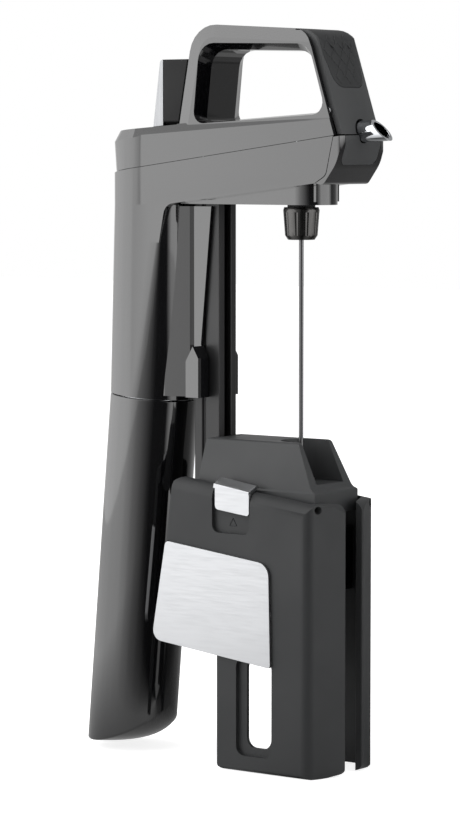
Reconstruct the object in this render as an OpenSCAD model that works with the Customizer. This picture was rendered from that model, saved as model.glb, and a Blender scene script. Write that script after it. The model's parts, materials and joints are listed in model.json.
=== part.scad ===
/* [Overall] */
// Height of the standing plane below the bottle-lip seat
base_drop = 86.4; // [80:0.2:95]
// Travel of the head down the clamp
head_travel = 62; // [40:1:62]

/* [Arm] */
// Half width of the arm at the column
arm_half_rear = 13.8; // [13:0.1:14.4]
// Half width of the arm at the nose
arm_half_front = 12.3; // [11.8:0.1:13]
// Upward slope of the seam between the lower and upper housings
seam_slope = 7.6; // [6:0.1:8.4]
// Height of the seam above the needle axis origin
seam_z = 111.2; // [110.6:0.1:112]
// Height of the arm's lower edge above the needle axis origin
arm_low_z = 97.6; // [97:0.1:98.4]
// Upward slope of the arm's lower edge
arm_low_slope = 7.0; // [6:0.1:7.6]
// Wall thickness of the housings
wall = 2.2; // [1.6:0.1:2.6]

/* [Handle] */
// Height of the handle's top at the rear
handle_top_z = 148.6; // [147.8:0.1:150]
// Half width of the handle loop
handle_half = 12.2; // [11.9:0.1:12.3]
// Depth of the chamfer round the handle opening
loop_chamfer = 2.0; // [1:0.1:2.4]
// Thickness of the trigger shell
trigger_wall = 2.0; // [1.6:0.1:2.2]
// Half width of the trigger
trigger_half = 10.5; // [10:0.1:10.6]
// Radius of the trigger pin
trigger_pin_r = 1.2; // [1:0.05:1.3]

/* [Spout and needle] */
// Outer radius of the pouring spout
spout_r = 3.4; // [2.9:0.1:3.5]
// Inner radius of the pouring spout
spout_bore_r = 2.6; // [1.8:0.1:2.7]
// Outer radius of the needle
needle_r = 0.735; // [0.6:0.005:0.9]
// Height of the needle tip in the clamp bridge
needle_tip_z = 8.5; // [7.5:0.5:12]
// Largest radius of the needle nut
nut_top_r = 5.85; // [5.4:0.05:6.2]
// Radius of the needle nut above its lower chamfer
nut_low_r = 5.15; // [4.9:0.05:5.3]
// Height of the needle nut
nut_h = 10.2; // [9:0.1:11]
// Number of flutes round the needle nut
nut_flutes = 10; // [8:1:14]

/* [Column and capsule cup] */
// Outer radius of the capsule cup
cup_r = 14.4; // [14:0.1:14.8]
// Rearward lean of the capsule cup
cup_lean = 4.9; // [4:0.1:5.4]
// Height of the seam between the column and the cup
cup_seam_z = 30; // [26:0.5:32]
// Radius of the gas capsule
capsule_r = 9.3; // [8.5:0.1:9.6]
// Length of the gas capsule
capsule_len = 68; // [62:1:70]
// Radius of the thread inside the cup
thread_r = 11.6; // [11.2:0.1:12]

/* [Rail] */
// Half width of the rail
rail_half = 4.6; // [4.2:0.1:4.8]
// Front face of the rail
rail_front_x = -28.6; // [-29:0.1:-28.2]
// Depth of the rail from front to back
rail_depth = 9.9; // [9:0.1:10.2]
// Half width of the runner's neck in the rail slot
runner_neck = 1.4; // [1.1:0.1:1.8]

/* [Clamp] */
// Height of the bridge top above the bottle-lip seat
bridge_h = 18; // [16:0.5:19]
// Half width of the bridge top
bridge_top_half = 9.1; // [8.8:0.1:9.6]
// Half width of the notch in the bridge
notch_half = 7.4; // [6.6:0.1:7.6]
// Distance of a jaw's outer face from the middle
jaw_out = 18.2; // [17.8:0.1:19]
// Wall thickness of a jaw
jaw_wall = 2.6; // [2.2:0.1:2.8]
// Half width of the gap between the jaw tips
jaw_gap_half = 4.5; // [4:0.1:5]
// Radius of the bottle neck that the pads hold
neck_r = 14.0; // [13.6:0.1:14.4]
// Radius of the jaw pins
jaw_pin_r = 1.2; // [1:0.05:1.3]
// Thickness of a wing plate
wing_t = 1.0; // [0.8:0.1:1.2]

/* [Hidden] */
// Running clearance between parts that slide or turn on each other
run_fit = 0.05;
// Gap between curved or loose faces
gap = 0.3;
// Slack that makes cutting tools pass through a face
cut = 1;
// Height of the standing plane
base_z = -base_drop;

// Column section under the arm
col_x = -56.4;
col_r = cup_r - 0.2;
col_top_z = 92;
nose_x = 21.5;
nose_crown_r = 47;
nose_front_x = 24.1;
corner_r = 2.2;
rear_x = col_x - col_r;

// Lines of the arm seen from the side
function seam(x) = seam_z + x * tan(seam_slope);
function low(x) = arm_low_z + x * tan(arm_low_slope);
function crest(x) = 120.6 + x * tan(4.3);
function handle_top(x) = handle_top_z - (x + 19.7) * tan(3.3);
function half_w(x) = arm_half_rear
    + (x - col_x) / (nose_x - col_x) * (arm_half_front - arm_half_rear);

// Front line of the trigger, leaning back as it rises
trig_low_x = 23.7;
trig_low_z = 114.4;
trig_lean = 17.9;
function trig_x(z) = trig_low_x - (z - trig_low_z) * tan(trig_lean);
trig_apex_z = 146.7;
trig_round = 9.6;
trig_tail_x = 6.4;
tail_cover = 1.2;
leaf_half = 3;
trig_pin_x = 17.6;
trig_pin_z = 121.6;
trig_barrel_r = 2.4;
trig_slit = 1.25;
swing_back = 1.3;
swing_down = 0.85;
trig_in_slope = (trig_low_x - trig_x(trig_apex_z)) / (trig_apex_z - trigger_wall - 0.9 - trig_low_z);
function trig_in_x(z) = trig_low_x - trigger_wall - 0.6 - (z - trig_low_z) * trig_in_slope;
fork_in = 4.3;
fork_out = 6.3;

// Spout line
spout_z = 115.1;
spout_rise = 3;
spout_in_x = 12.5;
spout_tip_x = 32.4;

// Boss under the arm
boss_z = 92.4;
boss_half = 8.6;
boss_round_x = 3.4;
boss_rear_x = -41;
block_half = 6.4;
block_rear_x = -7;
block_front_x = 10;
block_top_z = 106;
valve_x = 3.4;
valve_r = 1.3;
valve_top_z = 111.5;
lever_z = 111.8;
gas_z = 103.4;
gas_r = 1.35;

// Needle nut
nut_top_z = boss_z - 0.8;
nut_low_z = nut_top_z - nut_h;
stud_r = 3.2;
needle_top_z = 101;

// Cup, regulator and capsule along the leaning axis
cup_x = -58.06;
toe_round = 14;
toe_reach = 24;
cup_low_z = base_z + 2.5;
function tube_x(z) = cup_x + z * sin(cup_lean);
function tube_z(z) = cup_seam_z + z * cos(cup_lean);
thread_depth = 13;
reg_r = 8.4;
reg_len = 42;
capsule_mouth = -9.9;
cushion_h = 16;
bore_low = capsule_mouth - capsule_len - gap - cushion_h;
capsule_neck_r = 3.8;
bore_clear = 0.25;

screw_xs = [-30, 6];
screw_y = 10.5;
screw_r = 0.8;
screw_head_r = 1.3;
spine_rear_x = -46.6;
spine_front_x = -40.5;
post_slope = 10.3;
handle_cut_in = 4.2;
handle_cut_y = 1.6;
crest_cut = 3.6;
crest_in = 1.9;
pin_end = trigger_half + 1.0;
trigger_way = 0.5;
spine_half = 10.4;
spine_low_z = 105.4;
spine_top_z = 138.3;
// Rail and shroud
rail_rear_x = rail_front_x - rail_depth;
rail_top_z = 99.5;
rail_low_z = -4;
slot_neck = runner_neck + gap;
slot_half = 3.0;
slot_mouth = 1.6;
slot_deep = 2.2;
shroud_in = rail_half + gap;
shroud_out = 9.6;
foot_out = 10.9;
foot_low_z = cup_seam_z + 0.6;

// Clamp
bridge_rear_top = -30.3;
bridge_front_top = 5.3;
bridge_rear_low = -31.8;
bridge_front_low = 13.6;
bridge_low_half = 11.5;
bridge_low_z = 3.2;
bridge_edge = 1.2;
notch_x = 1.3;
notch_floor_z = 5;
deck_half = 12.0;
deck_low_z = -4.2;
jaw_pin_y = 14.6;
jaw_pin_z = -2.0;
jaw_barrel_r = 2.0;
jaw_swing = 12;
jaw_front_x = 15.2;
jaw_rear_x = -20.3;
jaw_tip_x = 20.7;
pin_rear_x = -29.5;
pin_front_x = 7;
lug_len = 4;
jaw_cover_y = 14.4;
jaw_top_z = 1.58;
jaw_top_slope = 6.84;
jaw_shoulder = 4.5;
jaw_rear_round = 4;
jaw_foot_round = 1.6;
jaw_tip_round = 5;
jaw_heel_round = 3;
spring_x = -6.2;
latch_floor = 16.8;
pad_half = 9.5;
pad_inner = 10.2;
pad_low_z = -30;
pad_h = 20;
guide_r = 3.2;
clamp_screw_x = -26.2;
clamp_screw_y = 2.4;
runner_rear_x = -28.3;
runner_front_x = -24.2;
runner_half = 4.2;
runner_low_z = 5;
runner_top_z = 16.8;

// Points of a polygon whose corners are rounded: each point is [x, y, radius]
function unit(v) = v / norm(v);
function corner(a, b, c, n) = b[2] == 0 ? [[b[0], b[1]]] :
    let (p = [b[0], b[1]], u = unit([a[0], a[1]] - p), v = unit([c[0], c[1]] - p))
    let (half_a = acos(u * v) / 2, t = b[2] / tan(half_a))
    let (o = p + unit(u + v) * b[2] / sin(half_a), s = p + u * t - o, e = p + v * t - o)
    let (a0 = atan2(s[1], s[0]), d = atan2(e[1], e[0]) - a0)
    let (turn = d > 180 ? d - 360 : d < -180 ? d + 360 : d)
    [for (i = [0:n]) o + b[2] * [cos(a0 + turn * i / n), sin(a0 + turn * i / n)]];
function rounded(p, n = 6) = [for (i = [0:len(p) - 1])
    for (q = corner(p[(i + len(p) - 1) % len(p)], p[i], p[(i + 1) % len(p)], n)) q];

// A side profile (x, z) made solid across the object, between two values of y
module across(y0, y1) {
    translate([0, y1, 0])
        rotate([90, 0, 0])
            linear_extrude(y1 - y0)
                children();
}

// A front profile (y, z) made solid between two values of x
module along(x0, x1) {
    translate([x0, 0, 0])
        rotate([90, 0, 90])
            linear_extrude(x1 - x0)
                children();
}

// A round rod from one point to another
module rod(a, b, r) {
    v = b - a;
    translate(a)
        rotate([0, acos(v[2] / norm(v)), atan2(v[1], v[0])])
            cylinder(r = r, h = norm(v), $fn = 32);
}

// A bent tube through a list of points
module tube_run(points, r) {
    for (i = [0:len(points) - 2])
        rod(points[i], points[i + 1], r);
    for (i = [1:len(points) - 2])
        translate(points[i])
            sphere(r = r + 0.05, $fn = 32);
}

// A coil spring standing on z = 0: rings of a small polygon swept up a helix
module coil(r, wire, h, turns) {
    rings = turns * 8;
    sides = 6;
    pts = [for (i = [0:rings], k = [0:sides - 1])
        let (a = 45 * i, w = 360 * k / sides, q = r + wire * cos(w))
        [q * cos(a), q * sin(a), wire + (h - 2 * wire) * i / rings + wire * sin(w)]];
    walls = [for (i = [0:rings - 1], k = [0:sides - 1])
        let (k2 = (k + 1) % sides, p = i * sides, q = p + sides)
        each [[p + k, q + k2, p + k2], [p + k, q + k, q + k2]]];
    first = [for (k = [1:sides - 2]) [0, k, k + 1]];
    last = [for (k = [1:sides - 2]) [rings * sides, rings * sides + k + 1, rings * sides + k]];
    polyhedron(points = pts, faces = concat(walls, first, last));
}

// Frame of the leaning cup: origin at the seam, z up along the cup's axis
module cup_frame() {
    translate([cup_x, 0, cup_seam_z])
        rotate([0, cup_lean, 0])
            children();
}

// The right-hand child and its mirror image
module both_sides() {
    children();
    mirror([0, 1, 0])
        children();
}

// ---------- head ----------

// Outline of the head seen from above
module head_plan() {
    translate([col_x, 0])
        circle(r = col_r, $fn = 96);
    hw = half_w(col_x + 2.8);
    polygon(rounded([[col_x + 2.8, -hw, 0], [nose_front_x, -arm_half_front, corner_r],
        [nose_front_x, arm_half_front, corner_r], [col_x + 2.8, hw, 0]]));
}

module head_block() {
    translate([0, 0, 80])
        linear_extrude(80)
            head_plan();
}

// Solid column from the arm down to the cup, oval above and round below
module column_solid() {
    hull() {
        translate([0, 0, col_top_z]) linear_extrude(0.1) {
            translate([col_x, 0]) circle(r = col_r, $fn = 72);
            polygon([[-45, -13.2], [-42.4, -10.6], [-41.2, -6], [-41.2, 6], [-42.4, 10.6], [-45, 13.2]]);
        }
        cup_frame()
            translate([0, 0, gap / 2])
                cylinder(r = cup_r, h = 0.1, $fn = 72);
    }
}

module rail_cut(extra) {
    translate([rail_rear_x - extra, -rail_half - extra, rail_low_z])
        cube([rail_depth + 2 * extra, 2 * (rail_half + extra), 112]);
}

module lower_housing() {
    color([0.06, 0.06, 0.065]) difference() {
        union() {
            intersection() {
                across(-20, 20) polygon(rounded([[rear_x - cut, seam(rear_x - cut), 0],
                    [20.3, seam(20.3), 0], [17.6, 101.8, 3], [13.4, low(13.4), 1],
                    [-43.6, low(-43.6), 4], [-46, 80, 0], [rear_x - cut, 80, 0]]));
                head_block();
            }
            column_solid();
        }
        // hollow of the arm, open at the seam
        across(-half_w(nose_x) + wall, half_w(nose_x) - wall)
            polygon(rounded([[-52, seam(-52) + cut, 0], [17, seam(17) + cut, 0], [15.2, 104.4, 2],
                [11.5, low(11.5) + wall, 0], [-40, low(-40) + wall, 2], [-52, 95, 3]]));
        // way for the needle block and the rail
        translate([block_rear_x - gap, -block_half - gap, 90])
            cube([block_front_x - block_rear_x + 2 * gap, 2 * (block_half + gap), 14]);
        rail_cut(0);
        // seat of the regulator and the way up for the gas tube
        cup_frame() {
            translate([0, 0, -cut])
                cylinder(r = reg_r + run_fit, h = reg_len + cut + gap, $fn = 64);
            cylinder(r = 4, h = 74, $fn = 32);
        }
        both_sides() for (x = screw_xs)
            translate([x, screw_y, 88]) {
                cylinder(r = screw_r + run_fit, h = 30, $fn = 24);
                cylinder(r = screw_head_r + run_fit, h = low(x) + 1.6 - 88, $fn = 32);
            }
        spout_way(gap / 2);
    }
}

// Handle loop and upper arm as one outline, seen from the side
module upper_outline() {
    polygon(rounded([[rear_x - cut, seam(rear_x - cut) + gap / 2, 0],
        [20.6, seam(20.6) + gap / 2, 0],
        [trig_x(trig_apex_z) - 3.0, handle_top(10), 8.5],
        [-34.2, handle_top(-34.2), 10],
        [-40.0, crest(-40), 0], [rear_x - cut, crest(rear_x - cut), 0]]));
}

// Opening of the handle loop, grown outwards by a chosen amount
module loop_hole(grow) {
    polygon(rounded([[-31.5 - grow, 118.3 - grow * 0.3, 1.5 + grow], [-28.9 - grow, 141.3 + grow, 6],
        [9.0 + grow, 140.3 + grow, 6], [15.6 + grow, 121.3 - grow * 0.3, 4]], 5));
}

// Inner face of the trigger shell, moved back and down by a chosen amount
module trigger_inner(dx, dz) {
    polygon(rounded([[-10, handle_top(6.4) - trigger_wall - 0.9 - dz, 0],
        [trig_x(trig_apex_z) - trigger_wall - 0.6 - dx, trig_apex_z - trigger_wall - 0.9 - dz, trig_round - 2],
        [trig_low_x - trigger_wall - 0.6 - dx, trig_low_z - cut - dz, 0], [-10, trig_low_z - cut - dz, 0]]));
}

// Space that the trigger sweeps in the handle
module trigger_pocket() {
    difference() {
        union() {
            translate([trig_tail_x - trig_slit, 112]) square([40, 44]);
            polygon([[1.8, handle_top(1.8) - tail_cover], [trig_tail_x, handle_top(trig_tail_x) - tail_cover],
                [trig_tail_x, 140], [1.8, 140]]);
        }
        trigger_inner(swing_back, swing_down);
        translate([-20, 110]) square([trig_pin_x + 20, 8]);
    }
}

// Outer lines of the handle alone, drawn inwards by a chosen amount
module handle_lines(inset) {
    polygon(rounded([[-34.2 + inset - (handle_top(-34.2) - 90) * tan(post_slope), 90, 0],
        [-34.2 + inset, handle_top(-34.2) - inset, 10 - inset], [60, handle_top(60) - inset, 0], [60, 90, 0]]));
}

module upper_solid() {
    difference() {
        intersection() {
            across(-20, 20) upper_outline();
            union() {
                // arm block with a long chamfer along both top edges and round its rear end
                intersection() {
                    head_block();
                    translate([0, 0, crest(0) + 0.2])
                        rotate([0, -4.3, 0])
                            hull() {
                                translate([0, 0, -50]) linear_extrude(50 - crest_cut)
                                    offset(0.3) head_plan();
                                translate([0, 0, -0.1]) linear_extrude(0.1) offset(-crest_in) head_plan();
                            }
                }
                // handle with a broad chamfer along its rear post and top bar
                intersection() {
                    translate([-45, -handle_half, crest(-45) - 3]) cube([80, 2 * handle_half, 45]);
                    hull() {
                        across(-handle_half + handle_cut_y, handle_half - handle_cut_y) handle_lines(0);
                        across(-handle_half, handle_half) handle_lines(handle_cut_in);
                    }
                }
            }
        }
        across(-20, 20) loop_hole(0);
        both_sides() hull() {
            across(7.5, 7.6) loop_hole(0);
            across(handle_half, handle_half + 0.1) loop_hole(loop_chamfer);
        }
        across(-trigger_half - gap, trigger_half + gap) trigger_pocket();
        // room for the trigger's barrel, fork and cross bar
        translate([trig_pin_x, 0, trig_pin_z])
            rotate([90, 0, 0])
                cylinder(r = trig_barrel_r + gap, h = 2 * (trigger_half + gap), center = true, $fn = 48);
        across(-fork_out - gap, fork_out + gap)
            polygon([[trig_pin_x + 3, trig_pin_z], [trig_pin_x + 3, 112], [0.5, 109], [0.5, 115.6],
                [13.0, 119.4]]);
        // hollow of the upper arm
        across(-10, 10) polygon([[-52, seam(-52) - cut], [13, seam(13) - cut], [13, 116.4],
            [-30, crest(-30) - wall - 0.6], [-52, crest(-52) - wall - 0.6]]);
        // spout, spine and screw ways
        spout_way(gap / 2);
        translate([spine_rear_x - run_fit, -spine_half - run_fit, spine_low_z])
            cube([spine_front_x - spine_rear_x + 2 * run_fit, 2 * (spine_half + run_fit), 30]);
        both_sides() for (x = screw_xs)
            translate([x, screw_y, 90]) cylinder(r = screw_r + run_fit, h = seam(x) + 6.2 - 90, $fn = 24);
        rod([trig_pin_x, -pin_end, trig_pin_z], [trig_pin_x, pin_end, trig_pin_z], trigger_pin_r);
    }
}

module spout_way(extra) {
    translate([spout_in_x - extra, 0, spout_z - 0.4])
        rotate([0, 90 - spout_rise, 0])
            cylinder(r = spout_r + extra, h = 40, $fn = 48);
}

module upper_housing_right() {
    color([0.06, 0.06, 0.065]) intersection() {
        upper_solid();
        translate([-90, -40, 80]) cube([140, 40, 90]);
    }
}

module upper_housing_left() {
    color([0.06, 0.06, 0.065]) intersection() {
        upper_solid();
        translate([-90, 0, 80]) cube([140, 40, 90]);
    }
}

// Crowned front of the nose
module nose_crown() {
    translate([nose_front_x + 0.2 - nose_crown_r, 0, 80])
        cylinder(r = nose_crown_r, h = 60, $fn = 128);
}

module nose_outline(back) {
    polygon(rounded([[20.4 - back, seam(20.3) - gap, 0], [24.3, seam(24.3) - gap, 0],
        [21.4, 105.2, 12], [16.6, 98.6, 2], [13.9, low(13.9), 0], [17.8, 101.66, 3]]));
}

module nose_cap() {
    color([0.05, 0.05, 0.055]) difference() {
        intersection() {
            across(-20, 20) nose_outline(0);
            head_block();
            nose_crown();
        }
        panel_shape(0);
        spout_way(gap);
    }
}

// Soft-touch panel let into the nose
module panel_shape(shrink) {
    intersection() {
        along(15, 40)
            polygon(rounded([[-9.9 + shrink, 104.8 + shrink, 2.5], [9.9 - shrink, 104.8 + shrink, 2.5],
                [9.9 - shrink, 130, 0], [-9.9 + shrink, 130, 0]]));
        difference() {
            across(-20, 20)
                polygon([[22.7, 116], [27, 116], [27, 107], [24, 100], [20.2, 100]]);
            children();
        }
    }
}

module nose_panel() {
    color([0.3, 0.3, 0.31]) difference() {
        intersection() {
            panel_shape(0.15);
            across(-20, 20) nose_outline(0);
            head_block();
            nose_crown();
        }
        spout_way(gap);
    }
}

// Profile of the trigger's outer face
module trigger_outline(inset) {
    polygon(rounded([[trig_tail_x + 0.1, handle_top(6.4) - inset, 0],
        [trig_x(trig_apex_z) - inset, trig_apex_z - inset, trig_round - inset],
        [trig_low_x - inset, trig_low_z, 0], [trig_low_x - 14, trig_low_z, 0],
        [trig_tail_x + 0.1, 136, 0]]));
}

module trigger_crown(inset) {
    translate([trig_low_x - inset, 0, trig_low_z])
        rotate([0, -trig_lean, 0])
            translate([-nose_crown_r, 0, -20])
                cylinder(r = nose_crown_r, h = 80, $fn = 128);
}

module trigger() {
    color([0.3, 0.3, 0.31]) difference() {
        union() {
            difference() {
                intersection() {
                    across(-trigger_half, trigger_half) trigger_outline(0);
                    trigger_crown(0);
                }
                across(-trigger_half - cut, trigger_half + cut) trigger_inner(0, 0);
            }
            // tail that slides under the housing's lip
            across(-trigger_half, trigger_half)
                polygon([[4.2, handle_top(4.2) - tail_cover - gap], [trig_tail_x + 2, handle_top(8.4) - tail_cover - gap],
                    [trig_tail_x + 2, handle_top(8.4) - 2.9], [4.2, handle_top(4.2) - 2.7]]);
            // barrel on the pin
            intersection() {
                rod([trig_pin_x, -trigger_half, trig_pin_z], [trig_pin_x, trigger_half, trig_pin_z], trig_barrel_r);
                across(-20, 20) trigger_outline(0);
            }
            across(-trigger_half, trigger_half)
                polygon([[trig_pin_x, trig_pin_z + 1.6], [trig_x(trig_pin_z) - 1.8, trig_pin_z + 1.6],
                    [trig_x(trig_pin_z) - 1.8, trig_pin_z - 1.6], [trig_pin_x, trig_pin_z - 1.6]]);
            // fork past the spout and its cross bar over the valve
            both_sides() across(fork_in, fork_out)
                polygon([[trig_pin_x - 1.4, trig_pin_z - 1.2], [trig_pin_x + 1.6, trig_pin_z - 1.6],
                    [trig_pin_x - 1, 116.4], [4.8, lever_z], [2.2, lever_z], [2.2, 113.8], [13.4, 118.2]]);
            translate([2.2, -fork_out, lever_z]) cube([2.6, 2 * fork_out, 2]);
        }
        spout_way(trigger_way);
        rod([trig_pin_x, -20, trig_pin_z], [trig_pin_x, 20, trig_pin_z], trigger_pin_r + run_fit);
        pad_cut(0);
    }
}

// Recess for the rubber pad, seen from the front
module pad_cut(shrink) {
    intersection() {
        along(-20, 40)
            polygon(rounded([[-9.6 + shrink, 150, 0], [9.6 - shrink, 150, 0], [9.6 - shrink, 139, 0],
                [7.6 - shrink, 128.8 + shrink, 4.5], [-7.6 + shrink, 128.8 + shrink, 4.5],
                [-9.6 + shrink, 139, 0]], 8));
        difference() {
            translate([trig_tail_x + 1, -12, 126]) cube([30, 24, 30]);
            across(-15, 15) trigger_outline(1.0);
        }
    }
}

module trigger_pad() {
    color([0.22, 0.22, 0.23]) intersection() {
        pad_cut(0.1);
        across(-12, 12) trigger_outline(0);
        trigger_crown(0);
    }
}

module trigger_pin() {
    color([0.7, 0.7, 0.72]) both_sides()
        rod([trig_pin_x, 4.2, trig_pin_z], [trig_pin_x, pin_end, trig_pin_z], trigger_pin_r);
}

// Bowed leaf between the handle's leg and the trigger
module trigger_spring() {
    back = swing_back + swing_down * trig_in_slope;
    color([0.75, 0.75, 0.77]) across(-leaf_half, leaf_half)
        polygon([[trig_in_x(127) - back, 127], [trig_in_x(131) - back + 0.4, 131],
            [trig_in_x(135) - back, 135], [trig_in_x(135) - back + 0.4, 135],
            [trig_in_x(131) - back + 0.8, 131], [trig_in_x(127) - back + 0.4, 127]]);
}

module spout() {
    color([0.85, 0.86, 0.88]) difference() {
        spout_way(0);
        translate([0, 0, -0.01]) spout_bore();
        // oblique mouth, lower lip further out
        translate([spout_tip_x, 0, spout_z - spout_r + 1.8])
            rotate([0, -45, 0])
                translate([0, -10, -20])
                    cube([40, 20, 60]);
    }
}

module spout_bore() {
    translate([spout_in_x - 2, 0, spout_z - 0.5])
        rotate([0, 90 - spout_rise, 0])
            cylinder(r = spout_bore_r, h = 50, $fn = 48);
}

module spout_seal() {
    color([0.15, 0.15, 0.15])
        translate([spout_in_x - 1.3, 0, spout_z - 0.47])
            rotate([0, 90 - spout_rise, 0])
                difference() {
                    cylinder(r = spout_r, h = 1.2, $fn = 48);
                    translate([0, 0, -cut]) cylinder(r = 1.3, h = 4, $fn = 32);
                }
}

// Boss under the arm with the block that joins gas, wine and needle
module needle_manifold() {
    color([0.06, 0.06, 0.065]) difference() {
        union() {
            intersection() {
                across(-20, 20) polygon([[boss_rear_x, boss_z], [20, boss_z], [20, low(20)],
                    [boss_rear_x, low(boss_rear_x)]]);
                translate([0, 0, 80]) linear_extrude(40) {
                    translate([boss_rear_x, -boss_half]) square([boss_round_x - boss_rear_x, 2 * boss_half]);
                    translate([boss_round_x, 0]) circle(r = boss_half, $fn = 64);
                }
            }
            translate([block_rear_x, -block_half, boss_z + 1])
                cube([block_front_x - block_rear_x, 2 * block_half, block_top_z - boss_z - 1]);
        }
        rail_cut(0);
        // thread of the needle nut, needle, valve and their link
        translate([0, 0, boss_z - cut]) cylinder(r = stud_r + run_fit, h = 97.2 - boss_z + cut, $fn = 48);
        translate([0, 0, boss_z]) cylinder(r = needle_r + run_fit, h = 101.3 - boss_z, $fn = 24);
        translate([valve_x, 0, 98]) cylinder(r = valve_r + run_fit, h = 20, $fn = 32);
        rod([0, 0, 100.4], [valve_x, 0, 100.4], 0.5);
        rod([-10, 0, gas_z - 0.05], [-4.9, 0, gas_z], gas_r + run_fit);
        translate([8, 0, block_top_z - 2]) cylinder(r = 1.2, h = 4, $fn = 32);
    }
}

module valve_stem() {
    color([0.8, 0.75, 0.5]) translate([valve_x, 0, 0]) {
        translate([0, 0, 99.2]) cylinder(r = valve_r, h = valve_top_z - 99.2, $fn = 32);
        translate([0, 0, 110.4]) cylinder(r = 2.5, h = 0.8, $fn = 32);
    }
}

module valve_spring() {
    color([0.75, 0.75, 0.77])
        translate([valve_x, 0, block_top_z])
            coil(2.0, 0.25, 4.1, 5);
}

module gas_tube() {
    color([0.8, 0.8, 0.8])
        tube_run([[tube_x(reg_len + 0.5), 0, tube_z(reg_len + 0.5)], [-52.4, 0, 96], [-47, 0, gas_z - 0.4], [-5, 0, gas_z]], gas_r);
}

module wine_tube() {
    color([0.9, 0.9, 0.9])
        tube_run([[8, 0, block_top_z - 1.9], [8, 0, 112.4], [10.2, 0, 114.5], [13.2, 0, 114.67]], 1.15);
}

module guide_rail() {
    color([0.16, 0.16, 0.17]) difference() {
        translate([rail_rear_x, -rail_half, rail_low_z])
            cube([rail_depth, 2 * rail_half, rail_top_z - rail_low_z]);
        // slot for the clamp's runner
        translate([rail_front_x - slot_mouth, -slot_neck, rail_low_z - cut])
            cube([slot_mouth + cut, 2 * slot_neck, 120]);
        translate([rail_front_x - slot_mouth - slot_deep, -slot_half, rail_low_z - cut])
            cube([slot_deep, 2 * slot_half, 120]);
        // groove along each side between the rail's two halves
        both_sides()
            translate([rail_front_x - 6.2, rail_half, rail_low_z - cut])
                rotate([0, 0, 45])
                    translate([-0.5, -0.5, 0])
                        cube([1, 1, 120]);
    }
}

// Channel on the column's front that holds the rail, with a forward foot
module rail_shroud() {
    color([0.05, 0.05, 0.055]) difference() {
        union() {
            intersection() {
                across(-shroud_out, shroud_out)
                    polygon([[-49, 91.6], [-30.8, 91.6], [-34.9, 47.4], [-33.2, 43.8], [-38, 40.6],
                        [-38, foot_low_z], [-50, foot_low_z]]);
                translate([0, 0, 20]) linear_extrude(80)
                    polygon([[-60, shroud_out], [-46.6, shroud_out], [-38.4, shroud_in + 2.2],
                        [-37.6, shroud_in + 1.1], [-28, shroud_in + 1.1], [-28, -shroud_in - 1.1],
                        [-37.6, -shroud_in - 1.1], [-38.4, -shroud_in - 2.2], [-46.6, -shroud_out],
                        [-60, -shroud_out]]);
            }
            across(-foot_out, foot_out)
                polygon([[-37.4, 42.2], [-34.6, 47.0], [-32.4, 43.2], [-32.4, foot_low_z], [-37.4, foot_low_z]]);
        }
        column_solid();
        translate([-60, -shroud_in, 20]) cube([60, 2 * shroud_in, 90]);
        across(-20, 20) polygon([[-60, low(-60)], [-20, low(-20)], [-20, 110], [-60, 110]]);
        across(-20, 20) polygon([[boss_rear_x, boss_z], [-20, boss_z], [-20, 110], [boss_rear_x, 110]]);
    }
    // web that joins the two cheeks behind the rail
    color([0.05, 0.05, 0.055]) difference() {
        across(-shroud_in, shroud_in)
            polygon([[-46, 90.4], [rail_rear_x, 90.4], [rail_rear_x, foot_low_z], [-50, foot_low_z]]);
        column_solid();
    }
}

module spine_plate() {
    color([0.12, 0.12, 0.13]) difference() {
        union() {
            across(-spine_half, spine_half)
                polygon([[spine_rear_x, 117], [spine_rear_x, spine_top_z], [-36.7, spine_top_z],
                    [spine_front_x, 117.5], [spine_front_x, 117]]);
            across(-spine_half + 2.6, spine_half - 2.6)
                polygon([[spine_rear_x, 120], [spine_rear_x, spine_low_z], [-40.6, spine_low_z], [-40.6, 120]]);
        }
        // shoulder that narrows to the shank
        both_sides()
            along(-60, -30)
                polygon([[7.8, 116], [spine_half + 1, 119.6], [spine_half + 1, 110], [7.8, 110]]);
    }
}

module spine_trim() {
    color([0.8, 0.8, 0.81])
        across(-spine_half, spine_half)
            polygon(rounded([[spine_rear_x, spine_top_z, 0],
                [-47.8, spine_top_z, 1.2], [-50.6, crest(-50.6) + 0.1, 0], [spine_rear_x, crest(-45.9) + 0.1, 0]]));
}

module housing_screws() {
    color([0.6, 0.6, 0.62]) both_sides() for (x = screw_xs)
        translate([x, screw_y, 0]) {
            translate([0, 0, low(x) + 1]) cylinder(r = screw_r, h = seam(x) + 5 - low(x), $fn = 24);
            translate([0, 0, low(x) + 0.3]) cylinder(r = screw_head_r, h = 1.3, $fn = 32);
        }
}

// ---------- gas side, in the frame of the leaning cup ----------

module regulator_body() {
    color([0.7, 0.7, 0.72]) cup_frame() difference() {
        translate([0, 0, gap / 2]) cylinder(r = reg_r, h = reg_len - gap / 2, $fn = 64);
        translate([0, 0, -cut]) cylinder(r = 1.2, h = 16, $fn = 24);
        translate([0, 0, 14]) cylinder(r = 5, h = 24, $fn = 48);
        translate([0, 0, 30]) cylinder(r = 1.6, h = 20, $fn = 24);
    }
}

module regulator_piston() {
    color([0.8, 0.7, 0.4]) cup_frame() {
        translate([0, 0, 24]) cylinder(r = 5 - run_fit, h = 5, $fn = 48);
        translate([0, 0, 14.2]) cylinder(r = 1.5, h = 10, $fn = 24);
    }
}

module regulator_spring() {
    color([0.75, 0.75, 0.77]) cup_frame() translate([0, 0, 29]) coil(3.9, 0.5, 9, 5);
}

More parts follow.
